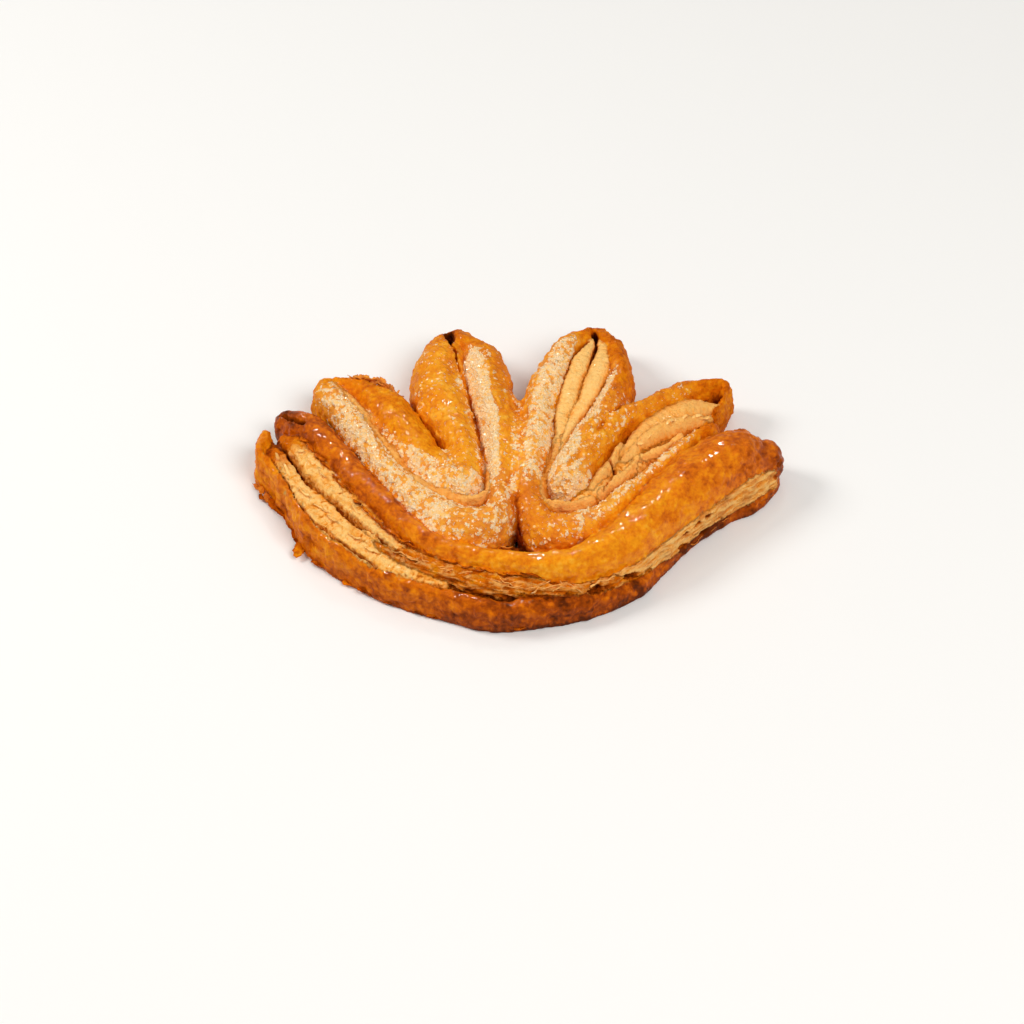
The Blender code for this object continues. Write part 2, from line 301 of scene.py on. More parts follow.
CUTS = {
    "petal_3_slit": Cut([(-16.8, 50.5, 3, 1), (-16.6, 46.5, 4, 1.1), (-16.4, 42.5, 9, 0.6)], 14, 1.0),
    "petal_3_seam": Cut(
        [(-16, 42, 11.5, 0.4), (-14.6, 36, 13, 0.35), (-12.7, 30, 13.3, 0.3), (-11, 23.7, 13.5, 0.3),
         (-10, 16.5, 13.6, 0.35), (-8.4, 8, 13.8, 0.4), (-7.2, 1, 14, 0.35), (-6.4, -5.7, 14.3, 0.3)],
        16, 0.42),
    "petal_4_hollow": Cut([(22, 50, 8, 0.6), (22.6, 48, 7, 1), (22.8, 46.4, 9, 0.6)], 13, 1.0),
    "rib_slit": Cut(
        [(23, 47, 9, 0.4), (22.3, 42.6, 10.5, 0.45), (21, 36.9, 12.3, 0.35), (19.6, 32, 13, 0.25),
         (18.4, 27.5, 13.5, 0.2), (17.2, 22, 13.7, 0.2)], 14.6, 0.85),
    "petal_4_slit": Cut(
        [(20.2, 45, 11, 0.4), (18, 41, 12, 0.45), (16.2, 37, 12.8, 0.4), (14.3, 32, 13.2, 0.35),
         (12.9, 26, 13.5, 0.3), (12, 20, 13.6, 0.3)], 15.2, 0.65),
    "band_groove": Cut(
        [(-60.9, 9.5, 9, 0.3), (-58.7, 3.8, 8, 0.4), (-56.4, -0.6, 7, 0.5), (-53, -6.2, 8.5, 0.4),
         (-48.9, -10.2, 9.5, 0.25), (-46.3, -12.9, 9, 0.3), (-42.3, -18.4, 7, 0.7),
         (-39.5, -21.6, 7, 0.5), (-36, -24.6, 8.5, 0.3), (-31.8, -28.6, 7, 0.6),
         (-28, -31.6, 7, 0.7), (-23.5, -33.6, 8.5, 0.4)], 11, 0.72),
    "rim_groove": Cut(
        [(-64.7, 9.5, 10, 0.25), (-63.6, 4.6, 10, 0.25), (-60, -3.1, 9.5, 0.3),
         (-56.5, -10.4, 9, 0.35), (-52.6, -17.4, 9, 0.35), (-47.3, -23.4, 8.5, 0.35),
         (-41.6, -29.2, 8, 0.35), (-34.4, -34.8, 7.5, 0.4)], 11, 0.7),
    "hub_hole": Cut([(1.7, -17, 14.5, 0.2), (1.6, -21, 9.5, 0.4), (1.7, -25, 7, 1.4),
                     (2, -28.6, 6, 2.9)], 13, 1.0),
    "petal_5_tip": Cut([(55.2, 26.4, 6.5, 0.9), (52.3, 25.6, 7.5, 1)], 12, 0.9),
    "petal_5_notch": Cut([(55, 17, 6, 0.6), (52.5, 15, 8, 0.5)], 13, 1.0),
    "band_tip": Cut([(-61.5, 19.8, 9, 0.5), (-58, 16, 9.5, 0.7), (-55.2, 13, 10.5, 0.5)], 14, 0.9),
    "fold_line": Cut([(25.4, 0.6, 9, 0.3), (26.8, -2.4, 9, 0.3), (26.7, -5, 9, 0.3),
                      (24.2, -9.8, 9, 0.3)], 13, 0.3),
}

# Small hollows in the sides: x, y, z, then the three radii, in mm.
PITS = (
    (70.2, 3, 9.2, 1.6, 1.4, 0.9), (69.8, 1, 6.6, 1.4, 1.2, 1.1), (50.6, -14.2, 8.2, 1.8, 1.4, 0.7),
    (47.8, -17.2, 8, 2, 1.4, 0.8), (44.8, -20.2, 7.6, 1.6, 1.4, 0.8), (50, -15.8, 3.6, 2.4, 1.6, 0.7),
    (44.5, -22, 4.2, 2, 1.6, 0.7), (21, -40, 7.5, 3.4, 1.6, 1.2), (12, -41.4, 8.2, 2, 1.2, 1),
    (30.5, -34.5, 7, 3, 1.6, 1), (-26, -32.6, 9, 2, 1.2, 1.4), (-9, -38.4, 9.4, 1.8, 1, 1),
    (4, -40, 9, 2.4, 0.9, 1),
)


def pit_reach(x, y, z, pit):
    """How far each place lies from the middle of a pit, where 1 is its wall."""
    px, py, pz, rx, ry, rz = pit
    return np.sqrt(((x + CENTRE[0] - px) / rx) ** 2 + ((y + CENTRE[1] - py) / ry) ** 2
                   + ((z - pz) / rz) ** 2)


# ---------------- from field to skin

class Grid:
    """The box of cells that the dough is sculpted in."""

    def __init__(self, low, high, cell):
        self.low, self.cell = np.array(low, float), cell
        self.axes = [np.arange(a, b + cell, cell) for a, b in zip(low, high)]
        self.plan = np.meshgrid(self.axes[0], self.axes[1], indexing="ij")
        flat = np.column_stack([axis.ravel() for axis in self.plan])
        self.warped = [axis + 0.7 * self.waves(flat, 16, seed) + 0.4 * self.waves(flat, 6, seed + 50)
                       + 0.3 * self.waves(flat, 3, seed + 90)
                       for seed, axis in zip((3, 9), self.plan)]

    def waves(self, flat, size, seed):
        return cloud_noise(flat, size, seed, 2).reshape(self.plan[0].shape)

    def near(self, route, margin):
        """The block of columns that can feel a route, and what it measures there."""
        reach = route.half.max() + margin
        low = np.floor((route.points.min(0) - reach - self.low[:2]) / self.cell).astype(int)
        high = np.ceil((route.points.max(0) + reach - self.low[:2]) / self.cell).astype(int)
        block = tuple(slice(max(a, 0), max(b, 0)) for a, b in zip(low, high))
        return block, *route.measure(*(axis[block] for axis in self.warped))

    def unwarped(self, points):
        """Plan place of each point as the routes see it."""
        at = np.rint((points[:, :2] - self.low[:2]) / self.cell).astype(int)
        column = tuple(np.clip(at, 0, np.array(self.plan[0].shape) - 1).T)
        return [points[:, i] + self.warped[i][column] - self.plan[i][column] for i in (0, 1)]


def sculpt(grid):
    """Field of the whole pastry, negative inside."""
    z = grid.axes[2][None, None, :]
    field = np.full([len(axis) for axis in grid.axes], 20.0)
    for number, ridge in enumerate(RIDGES.values()):
        block, index, across, along = grid.near(ridge, 6)
        spots = np.column_stack([along.ravel(), across.ravel()])
        lumps = cloud_noise(spots, 8, 40 + number, 2).reshape(index.shape)
        depth = ridge.depth(index[:, :, None], across[:, :, None], z) + 0.4 * lumps[:, :, None]
        field[block] = smooth_min(field[block], depth, ridge.blend)
    for cut in CUTS.values():
        block, index, across, _ = grid.near(cut, 2)
        depth = cut.depth(index[:, :, None], across[:, :, None], z)
        field[block] = -smooth_min(-field[block], depth, 0.4)
    x, y = (axis[:, :, None] for axis in grid.warped)
    for pit in PITS:
        field = -smooth_min(-field, (pit_reach(x, y, z, pit) - 1) * min(pit[3:]), 0.3)
    return np.maximum(field, -z)


def skin(field, grid):
    """Closed quad skin of the field's zero level, one vertex in each cell that it crosses."""
    inside = field < 0
    corners = list(np.ndindex(2, 2, 2))
    size = [n - 1 for n in field.shape]
    filled = sum(inside[i:size[0] + i, j:size[1] + j, k:size[2] + k].astype(np.int8)
                 for i, j, k in corners)
    crossed = (filled > 0) & (filled < 8)
    number = np.full(crossed.shape, -1)
    number[crossed] = np.arange(crossed.sum())
    cells = np.argwhere(crossed)
    value = {c: field[tuple((cells + c).T)] for c in corners}
    total, count = np.zeros((len(cells), 3)), np.zeros(len(cells))
    for a in corners:
        for axis in range(3):
            if a[axis]:
                continue
            b = tuple(n + (axis == i) for i, n in enumerate(a))
            cut = (value[a] < 0) != (value[b] < 0)
            place = np.tile(np.array(a, float), (cut.sum(), 1))
            place[:, axis] += value[a][cut] / (value[a][cut] - value[b][cut])
            total[cut] += place
            count[cut] += 1
    points = grid.low + (cells + total / count[:, None]) * grid.cell
    quads = []
    for axis in range(3):
        one, two = (axis + 1) % 3, (axis + 2) % 3
        step = np.diff(inside.astype(np.int8), axis=axis)
        edges = np.argwhere(step)
        edges = edges[(edges[:, one] > 0) & (edges[:, two] > 0)]
        turned = step[tuple(edges.T)] > 0
        quad = []
        for a, b in ((0, 0), (1, 0), (1, 1), (0, 1)):
            cell = edges.copy()
            cell[:, one] -= a
            cell[:, two] -= b
            quad.append(number[tuple(cell.T)])
        quad = np.column_stack(quad)
        quad[turned] = quad[turned][:, ::-1]
        quads.append(quad)
    return points, np.vstack(quads)


def new_mesh(name, points, faces):
    """A mesh from points in mm and rows of corners, with smooth faces."""
    mesh = bpy.data.meshes.new(name)
    sides = faces.shape[1]
    mesh.vertices.add(len(points))
    mesh.vertices.foreach_set("co", (np.asarray(points) * MM).ravel())
    mesh.loops.add(faces.size)
    mesh.loops.foreach_set("vertex_index", faces.ravel())
    mesh.polygons.add(len(faces))
    mesh.polygons.foreach_set("loop_start", np.arange(0, faces.size, sides))
    mesh.polygons.foreach_set("use_smooth", np.ones(len(faces), bool))
    mesh.update(calc_edges=True)
    mesh.validate()
    return mesh


def new_piece(name, mesh, material):
    piece = bpy.data.objects.new(name, mesh)
    bpy.context.collection.objects.link(piece)
    mesh.materials.append(material)
    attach(piece, "root")
    return piece


def vectors(rows, name):
    """The named vector of each row of a mesh's data."""
    flat = np.empty(len(rows) * 3, np.float32)
    rows.foreach_get(name, flat)
    return flat.reshape(-1, 3).astype(float)


def keep_number(mesh, name, values):
    """Store one number for each vertex, for the material to read."""
    mesh.attributes.new(name, "FLOAT", "POINT").data.foreach_set(
        "value", np.asarray(values, np.float32))


def thinned(mesh, most):
    """The mesh with its flattest places thinned until it holds no more triangles than asked."""
    triangles = sum(len(face.vertices) - 2 for face in mesh.polygons)
    helper = bpy.data.objects.new("thinning", mesh)
    bpy.context.collection.objects.link(helper)
    fewer = helper.modifiers.new("fewer", "DECIMATE")
    fewer.ratio = min(1.0, most / triangles)
    result = bpy.data.meshes.new_from_object(
        helper.evaluated_get(bpy.context.evaluated_depsgraph_get()))
    bpy.data.objects.remove(helper)
    result.validate()
    return result


# ---------------- what each place is like

class Survey:
    """For every point: the ridge it lies on, and its place across and along each ridge."""

    def __init__(self, points, grid):
        x, y = grid.unwarped(points)
        z = points[:, 2]
        count = len(points)
        best = np.full(count, np.inf)
        self.z, self.ridge = z, np.zeros(count, int)
        self.along, self.across = np.zeros(count), np.zeros(count)
        self.share, self.side = {}, {}      # along and across each named ridge
        for number, (name, ridge) in enumerate(RIDGES.items()):
            index, across, along = ridge.measure(x, y)
            depth = ridge.depth(index, across, z)
            won = depth < best
            best[won] = depth[won]
            self.ridge[won] = number
            self.along[won], self.across[won] = along[won], across[won]
            self.share[name] = ridge.share[index]
            self.side[name] = across / ridge.half[index]
        self.local = np.column_stack([self.along, self.across, z])
        # Painted shade: the walls of slots and pits are darkened as hollows where shade falls.
        self.hollow_shade = np.zeros(count)
        for cut in CUTS.values():
            index, across, along = cut.measure(x, y)
            close = 1 - ramp(cut.depth(index, across, z), 0.15, 0.6)
            self.hollow_shade = np.maximum(self.hollow_shade, cut.hollow_shade * close * ramp(cut.top - z, 0, 2.5))
        for pit in PITS:
            self.hollow_shade = np.maximum(self.hollow_shade, 0.85 * (1 - ramp(pit_reach(x, y, z, pit), 0.9, 1.3)))

    def on(self, *names):
        """1 on these ridges and 0 elsewhere."""
        wanted = [list(RIDGES).index(name) for name in names]
        return np.isin(self.ridge, wanted).astype(float)

    def of_kind(self, *kinds):
        return self.on(*(name for name, ridge in RIDGES.items() if ridge.kind in kinds))

    def from_ridges(self, read):
        """One number for each point, read from the ridge it lies on."""
        result = np.zeros(len(self.ridge))
        for number, (name, ridge) in enumerate(RIDGES.items()):
            mine = self.ridge == number
            result[mine] = read(ridge, self.share[name][mine])
        return result

    def band(self, name, start, end, low, high, soft=0.03):
        """1 on part of a ridge: from share start to end, and across from side low to high."""
        side = bump(self.side[name], low, high, 0.12)
        return self.on(name) * bump(self.share[name], start, end, soft) * side


def blurred(values, passes, reach):
    """Box blur of a 3-D array along each axis, repeated."""
    result = values
    width = 2 * reach + 1
    for _ in range(passes):
        for axis in range(3):
            pad = [(0, 0)] * 3
            pad[axis] = (reach + 1, reach)
            total = np.cumsum(np.pad(result, pad, mode="edge"), axis=axis, dtype=np.float32)
            total = np.moveaxis(total, axis, 0)
            result = np.moveaxis((total[width:] - total[:-width]) / width, 0, axis)
    return result


def hollowness(points, field, grid):
    """Towards 1 deep in a crease, about 0 on open ground and towards -1 on sharp crests; it drives the
    painted crease shade.
    """
    reach = max(1, round(1.6 / grid.cell))
    full = blurred((field < 0).astype(np.float32), 2, reach)
    at = np.rint((points - grid.low) / grid.cell).astype(int)
    at = np.clip(at, 0, np.array(field.shape) - 1)
    return np.clip((full[tuple(at.T)] - 0.5) * 4, -1, 1)


# How thickly sugar lies on parts of ridges: ridge, amount, span along it and span across it.
SUGARED = (
    ("west_outer", 1.0, 0.04, 0.42, -0.9, 1), ("west_outer", 0.6, 0.4, 0.6, -1, 1),
    ("west_outer", 1.7, 0.6, 0.93, 0.05, 0.9), ("west_outer", 0.2, 0.58, 0.93, -1, 0.25),
    ("west_inner", 0.16, 0.55, 0.97, -1, 1), ("west_inner", 0.4, 0.5, 0.9, -1, -0.6),
    ("east_outer", 1.15, 0.06, 0.45, -0.35, 0.9), ("east_outer", 0.35, 0.05, 0.45, -1, -0.35),
    ("east_outer", 0.25, 0.45, 0.66, -1, 1), ("east_outer", 0.75, 0.62, 0.95, -0.3, 1),
    ("east_inner", 1.2, 0.14, 0.42, -1, -0.2), ("east_inner", 0.35, 0.2, 0.42, -0.2, 1),
    ("east_inner", 1.1, 0.38, 0.52, -1, 0.2), ("east_inner", 0.3, 0.38, 0.58, 0, 1),
    ("east_inner", 0.25, 0.54, 0.84, -0.7, 0.7), ("band_upper", 0.5, 0.05, 0.5, 0.75, 1.1),
)


def sugar_cover(place):
    """How thickly sugar lies at each point, 0 to 1.6."""
    wide = spread((-0.8, -0.8, -0.7, -0.5, 0.4, 1, 1, 1, 1, 1, 1), place.share["west_inner"])
    cover = place.band("west_inner", 0.06, 0.52, -1, 1) * (
        1 - ramp(place.side["west_inner"], wide - 0.15, wide + 0.15))
    for ridge, amount, *spans in SUGARED:
        cover += amount * place.band(ridge, *spans)
    cover += 0.6 * place.on("west_pad", "north_fill") + 0.3 * place.on("east_pad")
    return np.clip(cover, 0, 1.6)


# ---------------- dough

def ridged(points, size, seed):
    """Sharp-crested noise, about 0 to 1."""
    return 1 - np.abs(cloud_noise(points, size, seed, 2)) * 1.6


def blisters(points, size, seed):
    """Round-topped lumps with sharp creases between them, about 0 to 1."""
    return np.abs(cloud_noise(points, size, seed, 2)) * 1.6


def sheets(place):
    """Crests of the layers that stack up in the pale side face, 0 to 1."""
    return ridged(place.local * [0.16, 0.5, 1], 1.5, 73)


def threads(place):
    """Crests of the torn layers in the split, 0 to 1."""
    return ridged(place.local * [0.3, 1, 1.2], 1.9, 79)


def sugar_clumps(points, cover):
    """Where sugar has caked: 0 on bare dough, towards 1 in the middle of a clump."""
    patches = 0.55 * cloud_noise(points, 6, 203, 2) + cloud_noise(points, 1.7, 211, 2)
    return ramp(patches + 0.75 * cover, 0.4, 1.0) * ramp(cover, 0.02, 0.2)


def relief(points, place):
    """How far each vertex of the plain skin moves out along its normal, in mm."""
    local, kind = place.local, place.of_kind
    crust = kind("crust")
    moved = 0.35 * cloud_noise(points, 5, 11, 2)
    moved += crust * 0.5 * (blisters(points, 4.2, 23) - 0.4)
    bands = place.on("band_upper", "band_lower")
    moved += (0.34 * crust - 0.12 * bands) * (blisters(points, 2, 31) - 0.4)
    moved += crust * 0.2 * cloud_noise(local * [0.35, 1, 1], 1.7, 17, 1)
    moved += 0.26 * sugar_clumps(points, sugar_cover(place))
    folds = cloud_noise(local * [1, 0.3, 0.4], 1.3, 29, 1)
    moved += kind("pale") * (0.3 * folds + 0.55 * (blisters(local, 2, 61) - 0.4))
    rings = np.sin(place.along * 3.6 + 2 * cloud_noise(local, 4, 67, 1) + place.across * 0.5)
    moved += kind("rib", "seam") * (0.12 * rings + 0.2 * folds)
    wisps = cloud_noise(local * [0.3, 1, 1], 1, 71, 1)
    moved += kind("leaf") * (0.1 * rings + 0.12 * folds + 0.12 * wisps)
    moved += kind("face") * (0.85 * (sheets(place) - 0.5) + 0.3 * folds)
    moved += kind("torn") * (1.4 * (threads(place) - 0.5) + 0.4 * folds)
    wall = place.on("band_lower")
    moved += wall * 0.75 * cloud_noise(local * [1, 1, 0.4], 3, 83, 2)
    layers = ridged(local * [0.2, 1, 1], 2.2, 87) - 0.5
    moved += wall * 0.4 * layers * ramp(8 - points[:, 2], 0, 4)
    return moved * ramp(points[:, 2], 0.2, 1.2)


def dress(points, place, crease_shade):
    """The numbers that the crust material reads at each vertex."""
    local, kind = place.local, place.of_kind
    crust = kind("crust")
    pale = kind("pale", "rib") + 0.64 * kind("leaf") + 0.6 * kind("seam")
    # The layers' raised crests are paler and the gaps between them browner: painted shade between the
    # layers.
    pale += kind("face") * (0.3 + 0.55 * ramp(sheets(place), 0.55, 0.85))
    pale += kind("torn") * 0.52 * ramp(threads(place), 0.6, 0.95)
    brown = place.from_ridges(lambda ridge, share: spread(ridge.brown, share))
    gloss = place.from_ridges(lambda ridge, share: ridge.gloss) * crust
    low = 1 - ramp(points[:, 2], 3, 12)
    brown += crust * (0.12 * cloud_noise(points, 9, 51, 2) + 0.12 * low)
    # Painted shade: browner deep in creases. Sharp crests are made browner as well.
    brown += 0.2 * np.maximum(crease_shade, 0) + 0.16 * crust * ramp(-crease_shade, 0.35, 0.8)
    scorch = ramp(cloud_noise(points * [1, 1, 1.3], 7, 57, 2), 0.1, 0.7)
    brown += 0.24 * scorch * place.on("band_lower") + 0.12 * scorch * place.on("band_upper")
    brown += crust * 0.1 * cloud_noise(points, 4, 53, 2)
    brown += kind("torn", "face") * (0.27 + 0.3 * cloud_noise(points, 4, 55, 2))
    # Painted shade in the creases between the pale blisters, added to the crease shade.
    pale_crease_shade = kind("pale") * (0.32 - blisters(local, 2, 61))
    crease_shade = crease_shade + np.maximum(2.2 * pale_crease_shade, 0)
    spots = ramp(cloud_noise(local * [0.5, 1, 1], 3.6, 59, 2), 0.35, 0.75)
    pale -= 0.5 * (kind("pale", "rib") * spots)
    streaks = ridged(local * [0.14, 1, 0.6], 2.4, 97)
    pale -= 0.6 * kind("pale") * ramp(streaks, 0.8, 0.97)
    foot = 1 - ramp(points[:, 2], 1.2, 2.6)
    brown = np.maximum(brown, 0.66 * foot)
    pale *= 1 - foot
    # Painted shade in the slots and pits: browner there, and not pale.
    brown = np.maximum(brown, place.hollow_shade)
    pale *= 1 - ramp(place.hollow_shade, 0.3, 0.8)
    # Each strip is less pale and browner towards its start.
    for name in ("strip_outer", "strip_inner"):
        darker_start = place.on(name) * (1 - ramp(place.share[name], 0.04, 0.22))
        pale -= 1.3 * darker_start
        brown += 0.32 * darker_start
    # Painted shade in the creases between blisters, and painted light on their raised tops.
    brown += crust * 0.2 * (0.35 - blisters(points, 2, 31))
    cover, lit = sugar_cover(place), 1 - ramp(place.hollow_shade, 0.1, 0.4)
    # Sugar is thinned in creases and kept out of the shaded hollows, so their painted shade stays.
    sugar = cover * lit * (1 - 0.8 * ramp(crease_shade, 0.2, 0.7))
    clumps = sugar_clumps(points, cover) * lit
    looks = {"brown": np.clip(brown, 0, 1), "pale": np.clip(pale, 0, 1), "gloss": gloss,
             "sugar": np.clip(sugar, 0, 1.4), "crease_shade": np.clip(crease_shade, 0, 1), "clumps": clumps}
    fine = np.full((len(points), 3), 0.55)
    for kinds, scale in ((("pale", "rib", "leaf"), (1.2, 0.3, 0.45)),
                         (("face", "torn"), (0.22, 1.3, 1.7)), (("seam",), (0.4, 1.4, 1.2))):
        fine = np.where(kind(*kinds)[:, None] > 0, scale, fine)
    for axis, name in enumerate(FIBRES):
        looks[name] = local[:, axis] * fine[:, axis] + place.ridge * 7.3
    looks["fibrous"] = kind("torn") + 0.75 * kind("face") + 0.55 * kind("pale")
    looks["fibrous"] += 0.36 * kind("rib", "leaf") + 0.4 * kind("seam")
    return looks


class Shade:
    """Short ways to build the nodes of one material."""

    def __init__(self, name):
        self.material = bpy.data.materials.new(name)
        self.material.use_nodes = True
        self.tree = self.material.node_tree
        self.shader = self.tree.nodes["Principled BSDF"]
        self.where = self.node("TexCoord", {}).outputs["Object"]

    def plug(self, socket, value):
        if isinstance(value, bpy.types.NodeSocket):
            self.tree.links.new(value, socket)
        else:
            socket.default_value = value

    def node(self, kind, inputs, **settings):
        """A new node with these settings, its inputs linked or set."""
        node = self.tree.nodes.new("ShaderNode" + kind)
        for name, value in settings.items():
            setattr(node, name, value)
        for socket, value in inputs.items():
            self.plug(node.inputs[socket], value)
        return node

    def set(self, name, value):
        self.plug(self.shader.inputs[name], value)

    def stored(self, name):
        return self.node("Attribute", {}, attribute_name=name).outputs["Fac"]

    def noise(self, size, detail):
        """Noise 0 to 1 with lumps of about size mm."""
        return self.node("TexNoise", {"Vector": self.where, "Scale": 1 / (size * MM),
                                      "Detail": detail, "Roughness": 0.55}).outputs["Fac"]

    def fibres(self, detail):
        """Noise drawn out along the layers, in the fibre coordinates kept at each vertex."""
        spot = self.node("CombineXYZ", {i: self.stored(name) for i, name in enumerate(FIBRES)})
        return self.node("TexNoise", {"Vector": spot.outputs["Vector"], "Scale": 1.0,
                                      "Detail": detail}).outputs["Fac"]

    def cells(self, size):
        """Distance to the middle of the nearest of many cells, size mm wide, and its own chance."""
        node = self.node("TexVoronoi", {"Vector": self.where, "Scale": 1 / (size * MM)})
        parts = self.node("SeparateColor", {"Color": node.outputs["Color"]})
        return node.outputs["Distance"], parts.outputs["Red"]

    def maths(self, kind, a, b):
        return self.node("Math", {0: a, 1: b}, operation=kind).outputs[0]

    def plus(self, a, b):
        return self.maths("ADD", a, b)

    def times(self, a, b):
        return self.maths("MULTIPLY", a, b)

    def between(self, value, low, high, to_low=0.0, to_high=1.0):
        """Value moved smoothly from the span low..high to to_low..to_high."""
        return self.node("MapRange", {"Value": value, "From Min": low, "From Max": high,
                                      "To Min": to_low, "To Max": to_high},
                         interpolation_type="SMOOTHSTEP").outputs[0]

    def colours(self, value, stops):
        node = self.node("ValToRGB", {"Fac": value})
        while len(node.color_ramp.elements) < len(stops):
            node.color_ramp.elements.new(0.5)
        for stop, (position, colour) in zip(node.color_ramp.elements, stops):
            stop.position, stop.color = position, (*colour, 1)
        return node.outputs["Color"]

    def mix(self, share, a, b):
        """Colour a moved towards b by share; sockets 6, 7 and output 2 are the colour ones."""
        return self.node("Mix", {0: share, 6: a, 7: b}, data_type="RGBA").outputs[2]

    def bumps(self, height, depth):
        """Shade as if the surface stood height x depth mm higher."""
        node = self.node("Bump", {"Strength": 1.0, "Distance": depth * MM, "Height": height})
        self.set("Normal", node.outputs["Normal"])


BROWNS = [(0.0, (0.95, 0.45, 0.035)), (0.25, (0.88, 0.31, 0.005)), (0.45, (0.78, 0.215, 0.003)),
          (0.62, (0.65, 0.14, 0.002)), (0.8, (0.39, 0.066, 0.0015)), (1.0, (0.11, 0.018, 0.001))]
PALES = [(0.0, (1.0, 0.61, 0.20)), (0.35, (1.0, 0.50, 0.12)), (0.65, (0.88, 0.32, 0.038)),
         (1.0, (0.52, 0.12, 0.006))]
SUGAR_VEIL = (1.0, 0.60, 0.20, 1)     # melted sugar under the grains


def crust_material():
    shade = Shade("glazed_crust")
    brown, pale, sugar, gloss, crease_shade, fibrous = (
        shade.stored(name) for name in ("brown", "pale", "sugar", "gloss", "crease_shade", "fibrous"))
    mottle, grit, fine = shade.noise(3.5, 3), shade.noise(1.1, 3), shade.noise(0.55, 2)
    fibre = shade.times(fibrous, shade.plus(shade.fibres(3), -0.42))
    even = shade.between(brown, 0.3, 0.9, 1.0, 0.45)
    speckle = shade.plus(shade.between(mottle, 0.25, 0.75, -0.14, 0.14),
                         shade.between(grit, 0.25, 0.75, -0.13, 0.13))
    tone = shade.plus(brown, shade.times(speckle, even))
    crust = shade.colours(tone, BROWNS)
    # Painted shade: the pale colour darkens in creases, plus random tone from the grit.
    depth = shade.plus(shade.times(crease_shade, 0.7), shade.between(grit, 0.3, 0.8, -0.1, 0.25))
    # Painted shade: the pale colour darkens in the fibre grooves that the bump below sinks.
    depth = shade.plus(depth, shade.between(fibre, 0.0, 0.26, 0.0, 0.75))
    colour = shade.mix(pale, crust, shade.colours(depth, PALES))
    colour = shade.mix(shade.times(sugar, 0.2), colour, SUGAR_VEIL)
    clumps = shade.plus(shade.stored("clumps"), shade.between(fine, 0.2, 0.8, -0.3, 0.3))
    clumps = shade.plus(clumps, shade.between(grit, 0.25, 0.75, -0.3, 0.3))
    clumps = shade.times(shade.between(clumps, 0.36, 0.56), shade.between(sugar, 0.02, 0.15))
    distance, chance = shade.cells(1.0)
    distance = shade.plus(distance, shade.between(fine, 0.2, 0.8, -0.25, 0.25))
    there = shade.between(shade.plus(shade.times(sugar, 0.4), shade.times(chance, -1)), 0, 0.05)
    loose = shade.times(there, shade.between(distance, 0.5, 0.3))
    crystals = shade.between(shade.cells(0.8)[0], 0.1, 0.6, 1.0, 0.0)
    grains = shade.times(shade.maths("MAXIMUM", clumps, loose),
                         shade.plus(0.72, shade.times(crystals, 0.2)))
    white = shade.colours(shade.plus(grit, shade.times(crystals, 0.2)),
                          [(0.4, (1.0, 0.64, 0.22)), (0.72, (1.0, 0.87, 0.60))])
    colour = shade.mix(grains, colour, white)
    shade.set("Base Color", colour)
    shade.set("Roughness", 0.5)
    shade.set("Coat Weight", shade.between(gloss, 0.2, 1, 0.03, 0.32))
    shade.set("Coat Roughness", 0.08)
    shade.set("Specular IOR Level", 0.01)
    height = shade.plus(shade.times(grit, shade.between(gloss, 0, 1, 1.0, 0.1)),
                        shade.times(fine, shade.between(gloss, 0, 1, 0.3, 0.0)))
    height = shade.plus(height, shade.times(shade.noise(1.6, 1), shade.between(gloss, 0, 1, 0.0, 0.8)))
    height = shade.plus(height, shade.times(shade.times(clumps, crystals), 0.35))
    height = shade.plus(height, shade.times(fibre, -1.6))
    shade.bumps(height, 0.6)
    return shade.material


# ---------------- torn flakes and sugar grains

def flake_shape(place, ahead, up, length, width, seed):
    """A thin closed scrap of pastry round place, long ahead, its flat side facing up, in mm."""
    rings, sectors, thick, curl, ragged = 5, 26, 0.3, 0.6, 0.3
    ahead = np.array(ahead, float) / np.linalg.norm(ahead)
    aside = np.cross(up, ahead)
    aside /= np.linalg.norm(aside)
    up = np.cross(ahead, aside)
    angle = np.linspace(0, 2 * np.pi, sectors, endpoint=False)
    circle = np.column_stack([np.cos(angle), np.sin(angle)])
    reach = 1 + ragged * lattice_noise(circle * 4 + seed * 3.1, 1, 301)
    reach += 0.5 * ragged * lattice_noise(circle * 9 + seed * 1.7, 1, 302)
    flat = [np.zeros((1, 2))] + [circle * (reach * ring / rings)[:, None]
                                 for ring in range(1, rings + 1)]
    flat = np.vstack(flat) * [length / 2, width / 2]
    bend = curl * lattice_noise(flat / 2.2 + seed * 5.3, 1, 303)
    bend += 0.3 * curl * lattice_noise(flat / 0.9 + seed * 2.9, 1, 304)
    middle = place + flat[:, :1] * ahead + flat[:, 1:] * aside + bend[:, None] * up
    edge = np.linalg.norm(flat / [length / 2, width / 2], axis=1)
    half = thick / 2 * (1.15 - 0.6 * np.clip(edge, 0, 1))[:, None]
    points = np.vstack([middle + up * half, middle - up * half])
    below = len(middle)
    faces = []
    for i in range(sectors):
        j = (i + 1) % sectors
        faces += [(0, 1 + i, 1 + j), (below, below + 1 + j, below + 1 + i)]
        for ring in range(rings - 1):
            a, b = 1 + ring * sectors + i, 1 + ring * sectors + j
            c, d = b + sectors, a + sectors
            faces += [(a, d, c), (a, c, b), (below + a, below + c, below + d),
                      (below + a, below + b, below + c)]
        a, b = 1 + (rings - 1) * sectors + i, 1 + (rings - 1) * sectors + j
        faces += [(a, below + a, below + b), (a, below + b, b)]
    return points, np.array(faces), np.concatenate([edge, edge])


